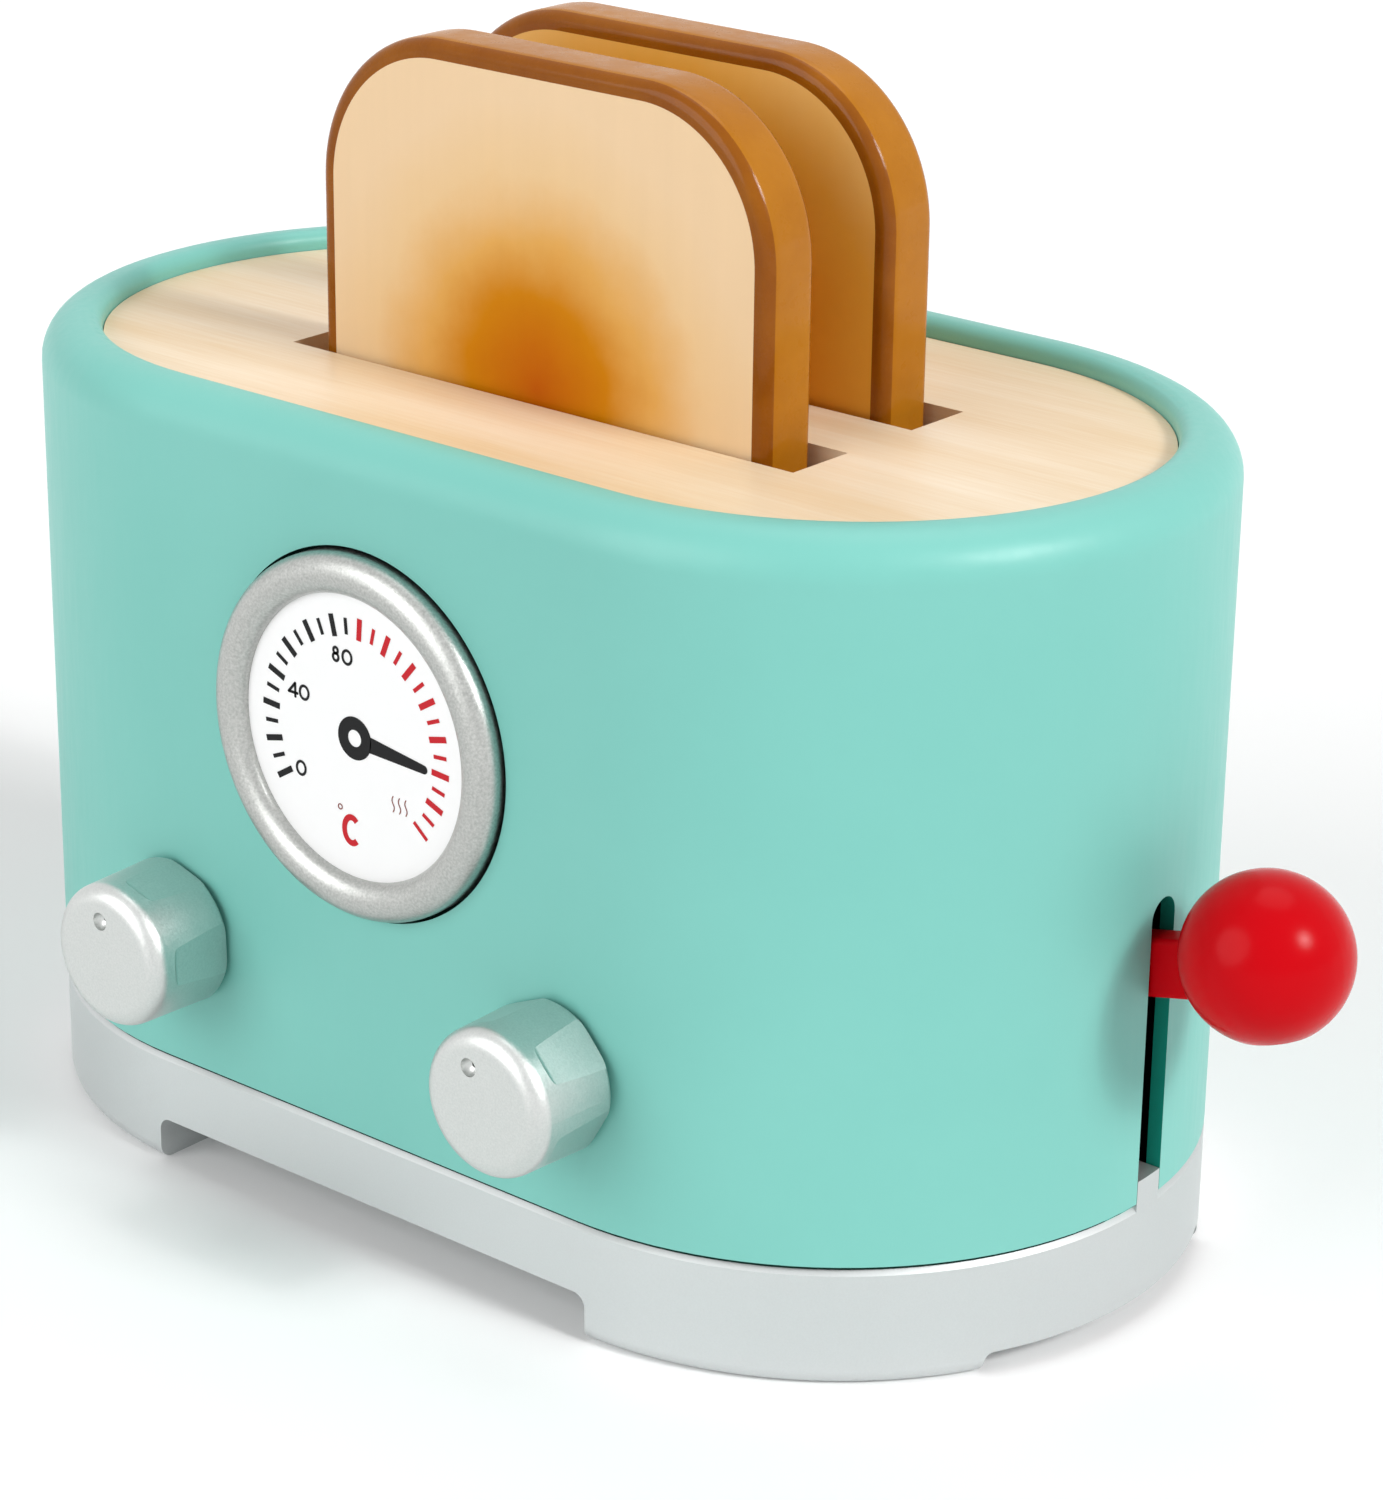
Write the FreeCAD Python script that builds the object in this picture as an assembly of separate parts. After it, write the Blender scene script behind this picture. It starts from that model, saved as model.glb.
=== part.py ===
import FreeCAD, Part
import os
from math import atan2, cos, degrees, hypot, radians, sin, sqrt
from FreeCAD import Vector

# Toy toaster of painted wood with lift-out slices, a sprung lever and two turning knobs.
# Millimetres. +X is the lever's end, -Y the front with the dial, +Z up, z = 0 the table.
# Pieces are modelled about the middle of the body and moved to the middle of the footprint at the end.

# Body
body_length = 170.0
body_width = 98.0
base_height = 15.6
casing_top = 107.7
rim_wall = 8.0
rim_outer_round = 5.8
rim_inner_round = 1.8
seam_chamfer = 0.6
wall = 10.0

# Feet, left by the cut-outs under the base
arch_half_width = 37.5
arch_height = 6.3
end_cut_half_width = 23.0
end_cut_height = 2.8
arch_round = 1.8
end_cut_round = 1.2
foot_round = 2.0

# Top panel and its bread slots
panel_recess = 2.5
panel_thickness = 8.0
panel_gap = 0.15
slot_pitch = 23.2
slot_width = 10.6
slot_half_length = 41.8

# Slices of toast
slice_width = 74.4
slice_top = 148.5
slice_height = 84.0
slice_thickness = 9.0
slice_top_round = 20.5
slice_bottom_round = 7.0
slice_edge_round = 1.9

# Boards that keep the slices upright
guide_board_thickness = 3.0
guide_board_half_length = 54.0
guide_board_gap = 1.3
guide_groove = 2.0

# Dial
dial_height = 70.3
dial_ring_radius = 23.5
dial_view_radius = 18.3
dial_disc_radius = 19.6
dial_ring_depth = 3.9
dial_disc_thickness = 1.0
dial_fit = 0.1

# Knobs
knob_x = 32.5
knob_z = 35.1
knob_back_radius = 9.9
knob_front_radius = 9.45
knob_length = 12.6
knob_lip = 2.9
knob_front_round = 2.2
knob_back_round = 0.6
knob_flat_count = 5
knob_flat_depth = 0.65
knob_flat_end_round = 1.2
left_flat_angle = 73.5
right_flat_angle = 42.0
left_marker_angle = 97.0
right_marker_angle = 112.0
marker_radius = 1.2
marker_hole_radius = 0.4
marker_hole_depth = 2.4
marker_offset = 5.0
felt_thickness = 0.6
felt_radius = 7.0
axle_radius = 2.0
axle_in_knob = 8.0
axle_head_radius = 3.6
axle_head_height = 2.2
washer_radius = 5.5
washer_thickness = 1.0
axle_play = 0.08
washer_play = 0.2
washer_seat = 0.6
washer_seat_play = 0.3

# Lever
lever_y = 2.4
pivot_x = -30.0
pivot_z = 21.6
blade_slot_x = 85.0
blade_slot_z = 47.8
blade_height = 7.5
blade_thickness = 4.5
blade_inner_x = 56.0
lever_drop_angle = 11.3
lever_bar_thickness = 2.5
lever_bar_height = 7.0
bar_lap = 18.0
lever_slot_width = 5.2
lever_slot_top = 56.5
slot_plug_height = 3.6
slot_plug_gap = 0.1
ball_x = 99.7
ball_z = 53.0
ball_radius = 10.6
ball_wall = 2.0
ball_mouth_radius = 5.0
ball_rib = 1.6
blade_edge_round = 0.7
lever_screw_radius = 1.25
lever_screw_head = 2.2
lever_screw_head_height = 0.6

# Pivot of the lever
pin_radius = 1.5
pin_head_radius = 2.6
pin_head_height = 1.0
pin_play = 0.06
ear_thickness = 1.5
ear_half_width = 5.0
ear_gap = 0.3
bracket_plate = 1.8
bracket_half_length = 13.0
bracket_half_width = 10.0
bracket_screw_x = 8.5
bracket_screw_y = 7.4
bracket_screw_radius = 1.2
bracket_screw_head = 2.1
bracket_screw_head_height = 1.4
bracket_screw_length = 7.0

# Carriage that lifts the slices
link_x = 52.0
link_pin_radius = 2.0
link_play = 0.3
platform_half_length = 39.6
platform_half_width = 17.5
platform_thickness = 5.0
platform_rib_height = 4.0
slice_side_play = 0.5
web_thickness = 4.8
web_gap = 0.45
web_half_length = 7.0
web_below_pin = 5.6
boss_radius = 5.6
boss_height = 17.0
boss_arm_width = 6.0
boss_arm_height = 9.0

# Rods, bushes, bumpers and springs
rod_x = 62.0
rod_y = 9.0
rod_radius = 2.5
rod_in_base = 7.0
rod_in_panel = 4.0
rod_play = 0.08
bush_wall = 1.1
bumper_radius = 4.6
bumper_height = 3.0
spring_mean_radius = 4.1
spring_wire_radius = 0.5
spring_turns = 6
wire_sides = 6
spring_end_gap = 0.25

# Screws that hold the base to the casing
base_screw_angle = 45.0
base_screw_radius = 1.6
base_screw_head = 3.3
base_screw_head_height = 2.4
base_screw_recess = 5.0
base_screw_in_casing = 14.0
base_screw_head_play = 0.4

# Worked out from the sizes above
half_length = body_length / 2
half_width = body_width / 2
straight = half_length - half_width
panel_top = casing_top - panel_recess
panel_bottom = panel_top - panel_thickness
slot_centres = (-slot_pitch / 2, slot_pitch / 2)
carriage_top = slice_top - slice_height
boss_bottom = carriage_top - boss_height
guide_board_inner = slot_pitch / 2 + slot_width / 2 + guide_board_gap
lever_tilt = atan2(blade_slot_z - pivot_z, blade_slot_x - pivot_x)
rod_places = ((-rod_x, rod_y), (rod_x, -rod_y))
web_rear = lever_y - blade_thickness / 2 - web_gap
web_front = web_rear - web_thickness
link_reach = (link_x - pivot_x) / cos(lever_tilt)
blade_start = (blade_inner_x - pivot_x) / cos(lever_tilt)
bar_end = blade_start + bar_lap
link_z = pivot_z + (link_x - pivot_x) * sin(lever_tilt) / cos(lever_tilt)
knob_back_y = -half_width - felt_thickness
washer_seat_y = -half_width + wall - washer_seat
knob_places = (
    ("left", -knob_x, left_flat_angle, left_marker_angle),
    ("right", knob_x, right_flat_angle, right_marker_angle),
)
margin = 1.0

X = Vector(1, 0, 0)
Y = Vector(0, 1, 0)
Z = Vector(0, 0, 1)


def box(x0, x1, y0, y1, z0, z1):
    return Part.makeBox(x1 - x0, y1 - y0, z1 - z0, Vector(x0, y0, z0))


def rod(x, y, z, radius, length, direction=Z):
    return Part.makeCylinder(radius, length, Vector(x, y, z), direction)


def stadium(inset, z0, z1):
    """A prism with the body's outline, drawn in by inset on every side."""
    r = half_width - inset
    s = straight
    front = Part.LineSegment(Vector(-s, -r, z0), Vector(s, -r, z0))
    right = Part.Arc(Vector(s, -r, z0), Vector(s + r, 0, z0), Vector(s, r, z0))
    back = Part.LineSegment(Vector(s, r, z0), Vector(-s, r, z0))
    left = Part.Arc(Vector(-s, r, z0), Vector(-s - r, 0, z0), Vector(-s, -r, z0))
    wire = Part.Wire([edge.toShape() for edge in (front, right, back, left)])
    return Part.Face(wire).extrude(Vector(0, 0, z1 - z0))


def edges_at_height(shape, z, tolerance=0.01):
    """The edges that lie flat at height z."""
    chosen = []
    for edge in shape.Edges:
        bounds = edge.BoundBox
        if abs(bounds.ZMin - z) < tolerance and abs(bounds.ZMax - z) < tolerance:
            chosen.append(edge)
    return chosen


def one_piece(shapes):
    first = shapes[0]
    return first.fuse(list(shapes[1:])).removeSplitter()


def rounded_channel(x0, x1, y0, y1, height, radius, along):
    """A cutter from below the table up to height, with its two upper corners rounded."""
    block = box(x0, x1, y0, y1, -margin, height)
    chosen = []
    for edge in edges_at_height(block, height):
        direction = edge.Vertexes[1].Point - edge.Vertexes[0].Point
        if abs(direction.dot(along)) > margin:
            chosen.append(edge)
    return block.makeFillet(radius, chosen)


def base_screw_places():
    reach = half_width - wall / 2
    dx = straight + reach * cos(radians(base_screw_angle))
    dy = reach * sin(radians(base_screw_angle))
    return [(sx * dx, sy * dy) for sx in (-1, 1) for sy in (-1, 1)]


def bracket_screw_places():
    places = []
    for sx in (-1, 1):
        for sy in (-1, 1):
            places.append((pivot_x + sx * bracket_screw_x, lever_y + sy * bracket_screw_y))
    return places


def guide_board_solid(side):
    """One upright board; side is -1 for the front, 1 for the rear."""
    inner = side * guide_board_inner
    outer = side * (guide_board_inner + guide_board_thickness)
    y0 = min(inner, outer)
    y1 = max(inner, outer)
    return box(-guide_board_half_length, guide_board_half_length, y0, y1,
               base_height - guide_groove, panel_bottom + guide_groove)


# Body

def make_base_plinth():
    base = stadium(0, 0, base_height)
    base = base.makeChamfer(seam_chamfer, edges_at_height(base, base_height))
    base = base.makeFillet(foot_round, edges_at_height(base, 0))
    base = one_piece([base, slot_plug()])
    cutters = [rounded_channel(-arch_half_width, arch_half_width, -body_width, body_width,
                               arch_height, arch_round, Y)]
    for x0, x1 in ((-body_length, -arch_half_width), (arch_half_width, body_length)):
        cutters.append(rounded_channel(x0, x1, -end_cut_half_width, end_cut_half_width,
                                       end_cut_height, end_cut_round, X))
    for x, y in rod_places:
        cutters.append(rod(x, y, base_height - rod_in_base, rod_radius, rod_in_base + margin))
    for x, y in bracket_screw_places():
        cutters.append(rod(x, y, base_height - bracket_screw_length, bracket_screw_radius,
                           bracket_screw_length + margin))
    for x, y in base_screw_places():
        cutters.append(rod(x, y, -margin, base_screw_radius, base_height + 2 * margin))
        cutters.append(rod(x, y, -margin, base_screw_head + base_screw_head_play,
                           base_screw_recess + base_screw_head_height + margin))
    cutters.append(guide_board_solid(-1))
    cutters.append(guide_board_solid(1))
    return base.cut(cutters)


def slot_plug():
    """The block on the base that fills the foot of the lever's slot, flush with the wall outside."""
    half = lever_slot_width / 2 - slot_plug_gap
    column = stadium(0, base_height - 2 * seam_chamfer, base_height + slot_plug_height)
    return column.common(box(half_length - wall, half_length + margin, lever_y - half, lever_y + half,
                             0, base_height + slot_plug_height))


def lever_slot_cutter():
    """The upright slot in the right end: round on top, open down to the base."""
    radius = lever_slot_width / 2
    x0 = half_length - 2 * wall
    length = 3 * wall
    centre = lever_slot_top - radius
    block = box(x0, x0 + length, lever_y - radius, lever_y + radius, base_height - margin, centre)
    return block.fuse(rod(x0, lever_y, centre, radius, length, X))


def make_casing():
    shell = stadium(0, base_height, casing_top)
    shell = shell.cut(stadium(rim_wall, panel_bottom, casing_top + margin))
    outer_rim = [e for e in edges_at_height(shell, casing_top) if reaches_outline(e, 0)]
    shell = shell.makeFillet(rim_outer_round, outer_rim)
    inner_rim = [e for e in edges_at_height(shell, casing_top) if reaches_outline(e, rim_wall)]
    shell = shell.makeFillet(rim_inner_round, inner_rim)
    shell = shell.makeChamfer(seam_chamfer, edges_at_height(shell, base_height))
    shell = shell.cut(stadium(wall, base_height - margin, panel_bottom + margin))
    cutters = [lever_slot_cutter()]
    for sx in (-1, 1):
        cutters.append(rod(sx * knob_x, -half_width - margin, knob_z, axle_radius + axle_play,
                           2 * wall, Y))
        cutters.append(rod(sx * knob_x, washer_seat_y, knob_z, washer_radius + washer_seat_play, wall, Y))
    for x, y in base_screw_places():
        cutters.append(rod(x, y, base_height - margin, base_screw_radius,
                           base_screw_in_casing + margin))
    return shell.cut(cutters)


def reaches_outline(edge, inset):
    """Whether an edge lies on the body's outline drawn in by inset."""
    point = edge.valueAt((edge.FirstParameter + edge.LastParameter) / 2)
    beyond = max(abs(point.x) - straight, 0)
    return abs(hypot(beyond, point.y) - (half_width - inset)) < 0.01


def make_top_panel():
    panel = stadium(rim_wall + panel_gap, panel_bottom, panel_top)
    cutters = []
    for y in slot_centres:
        cutters.append(box(-slot_half_length, slot_half_length, y - slot_width / 2,
                           y + slot_width / 2, panel_bottom - margin, panel_top + margin))
    for x, y in rod_places:
        cutters.append(rod(x, y, panel_bottom - margin, rod_radius, rod_in_panel + margin))
    cutters.append(guide_board_solid(-1))
    cutters.append(guide_board_solid(1))
    return panel.cut(cutters)


def make_base_screws():
    screws = []
    for x, y in base_screw_places():
        head = rod(x, y, base_screw_recess, base_screw_head, base_screw_head_height)
        shank = rod(x, y, base_screw_recess, base_screw_radius,
                    base_height - base_screw_recess + base_screw_in_casing)
        screws.append(one_piece([head, shank]))
    return Part.makeCompound(screws)


# Dial

def make_dial_bezel():
    """A ring with a rounded section, turned about the dial's axis, rebated behind for the disc."""
    half = (dial_ring_radius - dial_view_radius) / 2
    middle = dial_view_radius + half
    shoulder = dial_ring_depth - half
    base_y = -half_width
    outer_low = Vector(dial_ring_radius, base_y, dial_height)
    outer_high = Vector(dial_ring_radius, base_y - shoulder, dial_height)
    crown = Vector(middle, base_y - dial_ring_depth, dial_height)
    inner_high = Vector(dial_view_radius, base_y - shoulder, dial_height)
    inner_step = Vector(dial_view_radius, base_y - dial_disc_thickness - dial_fit, dial_height)
    rebate_top = Vector(dial_disc_radius + dial_fit, base_y - dial_disc_thickness - dial_fit, dial_height)
    rebate_low = Vector(dial_disc_radius + dial_fit, base_y, dial_height)
    edges = [
        Part.LineSegment(outer_low, outer_high).toShape(),
        Part.Arc(outer_high, crown, inner_high).toShape(),
        Part.LineSegment(inner_high, inner_step).toShape(),
        Part.LineSegment(inner_step, rebate_top).toShape(),
        Part.LineSegment(rebate_top, rebate_low).toShape(),
        Part.LineSegment(rebate_low, outer_low).toShape(),
    ]
    return Part.Face(Part.Wire(edges)).revolve(Vector(0, 0, dial_height), Y, 360)


def make_dial_disc():
    return rod(0, -half_width - dial_disc_thickness, dial_height, dial_disc_radius, dial_disc_thickness, Y)


# Knobs

def knob_profile(x):
    """The turned blank: tapered side, rounded front lip and eased back edge."""
    back = Vector(x + knob_back_radius, knob_back_y, knob_z)
    front = Vector(x + knob_front_radius, knob_back_y - knob_length, knob_z)
    edges = [
        Part.LineSegment(Vector(x, knob_back_y, knob_z), back).toShape(),
        Part.LineSegment(back, front).toShape(),
        Part.LineSegment(front, Vector(x, knob_back_y - knob_length, knob_z)).toShape(),
        Part.LineSegment(Vector(x, knob_back_y - knob_length, knob_z), Vector(x, knob_back_y, knob_z)).toShape(),
    ]
    return Part.Face(Part.Wire(edges))


def make_knob(x, first_flat, marker_angle):
    """One knob at rest, with its flats and its marker turned to their own angles."""
    blank = knob_profile(x).revolve(Vector(x, 0, knob_z), Y, 360)
    front = [e for e in blank.Edges if e.BoundBox.YMax < knob_back_y - knob_length + 0.01 and e.Length > knob_length]
    blank = blank.makeFillet(knob_front_round, front)
    back = [e for e in blank.Edges if e.BoundBox.YMin > knob_back_y - 0.01 and e.Length > knob_length]
    blank = blank.makeFillet(knob_back_round, back)
    cutters = [finger_flat(x, first_flat + n * 360 / knob_flat_count) for n in range(knob_flat_count)]
    front_y = knob_back_y - knob_length
    marker_x = x + marker_offset * cos(radians(marker_angle))
    marker_z = knob_z + marker_offset * sin(radians(marker_angle))
    cutters.append(Part.makeSphere(marker_radius, Vector(marker_x, front_y, marker_z)))
    cutters.append(rod(marker_x, front_y - margin, marker_z, marker_hole_radius, marker_hole_depth + margin, Y))
    cutters.append(rod(x, knob_back_y - axle_in_knob, knob_z, axle_radius, axle_in_knob + margin, Y))
    return blank.cut(cutters)


def finger_flat(x, angle):
    """A cutter for one recessed flat, from behind the front lip to the back of the knob."""
    length = knob_length - knob_lip
    inner = knob_back_radius - knob_flat_depth
    reach = knob_flat_end_round + 2 * knob_flat_depth
    block = box(x + inner, x + inner + reach, knob_back_y - length, knob_back_y + margin,
                knob_z - knob_back_radius, knob_z + knob_back_radius)
    corner = [e for e in block.Edges if e.BoundBox.XMax < x + inner + 0.01
              and e.BoundBox.YMax < knob_back_y - length + 0.01 and e.BoundBox.ZLength > margin]
    block = block.makeFillet(knob_flat_end_round, corner)
    block.rotate(Vector(x, 0, knob_z), Vector(0, -1, 0), angle)
    return block


def make_knob_felt(x):
    pad = rod(x, knob_back_y, knob_z, felt_radius, felt_thickness - washer_play / 2, Y)
    return pad.cut(rod(x, knob_back_y - margin, knob_z, axle_radius, felt_thickness + 2 * margin, Y))


def make_knob_axle(x):
    """A shouldered screw from inside the wall into the knob."""
    head_y = washer_seat_y + washer_play + washer_thickness
    shank = rod(x, knob_back_y - axle_in_knob, knob_z, axle_radius, head_y - knob_back_y + axle_in_knob, Y)
    head = rod(x, head_y, knob_z, axle_head_radius, axle_head_height, Y)
    head = head.makeFillet(axle_head_height / 3, [e for e in head.Edges
                                                  if e.BoundBox.YMin > head_y + axle_head_height - 0.01])
    return one_piece([shank, head])


def make_knob_washer(x):
    y0 = washer_seat_y + washer_play
    disc = rod(x, y0, knob_z, washer_radius, washer_thickness, Y)
    return disc.cut(rod(x, y0 - margin, knob_z, axle_radius, washer_thickness + 2 * margin, Y))


# Slices

def make_slice(y):
    """One slice: square foot with small corners, large round shoulders, eased crust edges."""
    w = slice_width / 2
    low = carriage_top
    top = slice_top
    rb = slice_bottom_round
    rt = slice_top_round
    y0 = y - slice_thickness / 2
    k = 1 - sqrt(0.5)

    def at(x, z):
        return Vector(x, y0, z)

    edges = [
        Part.LineSegment(at(-w + rb, low), at(w - rb, low)).toShape(),
        Part.Arc(at(w - rb, low), at(w - rb * k, low + rb * k), at(w, low + rb)).toShape(),
        Part.LineSegment(at(w, low + rb), at(w, top - rt)).toShape(),
        Part.Arc(at(w, top - rt), at(w - rt * k, top - rt * k), at(w - rt, top)).toShape(),
        Part.LineSegment(at(w - rt, top), at(-w + rt, top)).toShape(),
        Part.Arc(at(-w + rt, top), at(-w + rt * k, top - rt * k), at(-w, top - rt)).toShape(),
        Part.LineSegment(at(-w, top - rt), at(-w, low + rb)).toShape(),
        Part.Arc(at(-w, low + rb), at(-w + rb * k, low + rb * k), at(-w + rb, low)).toShape(),
    ]
    block = Part.Face(Part.Wire(edges)).extrude(Vector(0, slice_thickness, 0))
    rims = [e for e in block.Edges if e.BoundBox.YLength < 0.01]
    return block.makeFillet(slice_edge_round, rims)


# Lever, drawn along its own line from the pivot and then tilted to its raised place

def lever_place(shape):
    shape.rotate(Vector(0, 0, 0), Vector(0, -1, 0), degrees(lever_tilt))
    shape.translate(Vector(pivot_x, lever_y, pivot_z))
    return shape


def along_lever(x, z):
    """A place of the raised lever in the lever's own line: distance along it and height above it."""
    dx = x - pivot_x
    dz = z - pivot_z
    return dx * cos(lever_tilt) + dz * sin(lever_tilt), -dx * sin(lever_tilt) + dz * cos(lever_tilt)


def lever_screw_places():
    return [blade_start + bar_lap / 4, blade_start + 3 * bar_lap / 4]


def ball_shell(middle):
    """The ball's wall with its open mouth below, turned from half its section."""
    inner_radius = ball_radius - ball_wall
    mouth_outside = sqrt(ball_radius ** 2 - ball_mouth_radius ** 2)
    mouth_inside = sqrt(inner_radius ** 2 - ball_mouth_radius ** 2)
    lip_outside = middle + Vector(ball_mouth_radius, 0, -mouth_outside)
    lip_inside = middle + Vector(ball_mouth_radius, 0, -mouth_inside)
    top_outside = middle + Vector(0, 0, ball_radius)
    top_inside = middle + Vector(0, 0, inner_radius)
    edges = [
        Part.Arc(lip_outside, middle + Vector(ball_radius, 0, 0), top_outside).toShape(),
        Part.LineSegment(top_outside, top_inside).toShape(),
        Part.Arc(top_inside, middle + Vector(inner_radius, 0, 0), lip_inside).toShape(),
        Part.LineSegment(lip_inside, lip_outside).toShape(),
    ]
    return Part.Face(Part.Wire(edges)).revolve(middle, Z, 360)


def make_lever_handle():
    """The moulded blade and the hollow ball, open below and ribbed inside."""
    centre, rise = along_lever(ball_x, ball_z)
    half = blade_thickness / 2
    end = centre - ball_radius + 1.5 * ball_wall
    blade = box(blade_start, end, -half, half, -blade_height / 2, blade_height / 2)
    long_edges = [e for e in blade.Edges if e.BoundBox.XLength > ball_radius]
    blade = blade.makeFillet(blade_edge_round, long_edges)
    middle = Vector(centre, 0, rise)
    rib_reach = ball_radius - ball_wall / 2
    ribs = []
    for angle in (45, 135):
        rib = box(-rib_reach, rib_reach, -ball_rib / 2, ball_rib / 2, -rib_reach, rib_reach)
        rib.rotate(Vector(0, 0, 0), Z, angle)
        rib.translate(middle)
        ribs.append(rib.common(Part.makeSphere(ball_radius - ball_wall / 4, middle)))
    handle = one_piece([ball_shell(middle), blade] + ribs)
    tang = box(blade_start - margin, bar_end, -lever_bar_thickness / 2, lever_bar_thickness / 2,
               -blade_height, blade_height)
    handle = handle.cut([tang] + [rod(x, -half - margin, 0, lever_screw_radius, blade_thickness + 2 * margin, Y)
                                  for x in lever_screw_places()])
    return lever_place(handle)


def make_lever_bar():
    half = lever_bar_thickness / 2
    end_radius = lever_bar_height / 2
    bar = box(0, bar_end, -half, half, -end_radius, end_radius)
    eye = rod(0, -half, 0, end_radius, lever_bar_thickness, Y)
    bar = one_piece([bar, eye])
    cutters = [rod(0, -half - margin, 0, pin_radius + pin_play, lever_bar_thickness + 2 * margin, Y)]
    cutters.append(rod(link_reach, -half - margin, 0, link_pin_radius, lever_bar_thickness + 2 * margin, Y))
    for x in lever_screw_places():
        cutters.append(rod(x, -half - margin, 0, lever_screw_radius, lever_bar_thickness + 2 * margin, Y))
    return lever_place(bar.cut(cutters))


def make_lever_screws():
    screws = []
    half = blade_thickness / 2
    for x in lever_screw_places():
        shank = rod(x, -half, 0, lever_screw_radius, blade_thickness, Y)
        head = rod(x, half, 0, lever_screw_head, lever_screw_head_height, Y)
        screws.append(one_piece([shank, head]))
    return lever_place(Part.makeCompound(screws))


def make_link_pin():
    """The pin that works in the carriage's web, riveted to the bar."""
    front = web_front - margin / 2 - lever_y
    rear = lever_bar_thickness / 2
    shank = rod(link_reach, front, 0, link_pin_radius, rear - front, Y)
    head = rod(link_reach, rear, 0, pin_head_radius, pin_head_height, Y)
    return lever_place(one_piece([shank, head]))


# Pivot of the lever

def ear_spans():
    """The front and rear ear of the bracket, each from y to y."""
    near = lever_bar_thickness / 2 + ear_gap
    far = near + ear_thickness
    return ((lever_y - far, lever_y - near), (lever_y + near, lever_y + far))


def make_pivot_bracket():
    plate = box(pivot_x - bracket_half_length, pivot_x + bracket_half_length,
                lever_y - bracket_half_width, lever_y + bracket_half_width,
                base_height, base_height + bracket_plate)
    corners = [e for e in plate.Edges if e.BoundBox.ZLength > bracket_plate / 2]
    plate = plate.makeFillet(2 * bracket_plate, corners)
    pieces = [plate]
    for y0, y1 in ear_spans():
        pieces.append(box(pivot_x - ear_half_width, pivot_x + ear_half_width, y0, y1, base_height, pivot_z))
        pieces.append(rod(pivot_x, y0, pivot_z, ear_half_width, y1 - y0, Y))
    bracket = one_piece(pieces)
    cutters = [rod(pivot_x, lever_y - body_width / 4, pivot_z, pin_radius, body_width / 2, Y)]
    for x, y in bracket_screw_places():
        cutters.append(rod(x, y, base_height - margin, bracket_screw_radius, bracket_plate + 2 * margin))
    return bracket.cut(cutters)


def make_pivot_pin():
    y0 = ear_spans()[0][0]
    y1 = ear_spans()[1][1]
    shank = rod(pivot_x, y0 - pin_head_height, pivot_z, pin_radius, y1 - y0 + 2 * pin_head_height, Y)
    head = rod(pivot_x, y0 - pin_head_height, pivot_z, pin_head_radius, pin_head_height, Y)
    collar = rod(pivot_x, y1, pivot_z, pin_head_radius, pin_head_height, Y)
    return one_piece([shank, head, collar])


def make_bracket_screws():
    screws = []
    top = base_height + bracket_plate
    for x, y in bracket_screw_places():
        shank = rod(x, y, base_height - bracket_screw_length, bracket_screw_radius,
                    bracket_screw_length + bracket_plate)
        head = rod(x, y, top, bracket_screw_head, bracket_screw_head_height)
        screws.append(one_piece([shank, head]))
    return Part.makeCompound(screws)


# Carriage

def link_slot():
    """The cutter for the level slot in the web: the pin moves along it as the lever swings."""
    height = link_pin_radius + link_play
    swing = radians(lever_drop_angle)
    rise = link_z - pivot_z
    reach = link_x - pivot_x
    travel = reach * (cos(swing) - 1) + rise * sin(swing)
    low = link_x - link_play
    high = link_x + max(travel, 0) + link_play
    depth = web_thickness + 2 * margin
    y0 = web_front - margin
    block = box(low, high, y0, y0 + depth, link_z - height, link_z + height)
    ends = [rod(x, y0, link_z, height, depth, Y) for x in (low, high)]
    return one_piece([block] + ends)


def make_lift_carriage():
    plate_bottom = carriage_top - platform_thickness
    rib_half = slot_pitch / 2 - slice_thickness / 2 - slice_side_play
    pieces = [
        box(-platform_half_length, platform_half_length, -platform_half_width, platform_half_width,
            plate_bottom, carriage_top),
        box(-platform_half_length, platform_half_length, -rib_half, rib_half,
            plate_bottom, carriage_top + platform_rib_height),
        box(link_x - web_half_length, link_x + web_half_length, web_front, web_rear,
            link_z - web_below_pin, carriage_top),
    ]
    for x, y in rod_places:
        side = 1 if x > 0 else -1
        inner = side * (platform_half_length - margin)
        pieces.append(rod(x, y, boss_bottom, boss_radius, boss_height))
        pieces.append(box(min(x, inner), max(x, inner), y - boss_arm_width / 2, y + boss_arm_width / 2,
                          carriage_top - boss_arm_height, carriage_top))
    pieces.append(box(platform_half_length - margin, link_x + web_half_length, -rod_y, web_rear,
                      carriage_top - boss_arm_height, carriage_top))
    carriage = one_piece(pieces)
    cutters = [link_slot()]
    for x, y in rod_places:
        cutters.append(rod(x, y, boss_bottom - margin, rod_radius + rod_play + bush_wall,
                           boss_height + 2 * margin))
    return carriage.cut(cutters)


def make_carriage_bushes():
    bushes = []
    for x, y in rod_places:
        tube = rod(x, y, boss_bottom, rod_radius + rod_play + bush_wall, boss_height)
        bushes.append(tube.cut(rod(x, y, boss_bottom - margin, rod_radius + rod_play, boss_height + 2 * margin)))
    return Part.makeCompound(bushes)


def make_guide_rods():
    low = base_height - rod_in_base
    high = panel_bottom + rod_in_panel
    return Part.makeCompound([rod(x, y, low, rod_radius, high - low) for x, y in rod_places])


def make_carriage_bumpers():
    rings = []
    for x, y in rod_places:
        ring = rod(x, y, carriage_top, bumper_radius, bumper_height)
        rings.append(ring.cut(rod(x, y, carriage_top - margin, rod_radius, bumper_height + 2 * margin)))
    return Part.makeCompound(rings)


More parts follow.
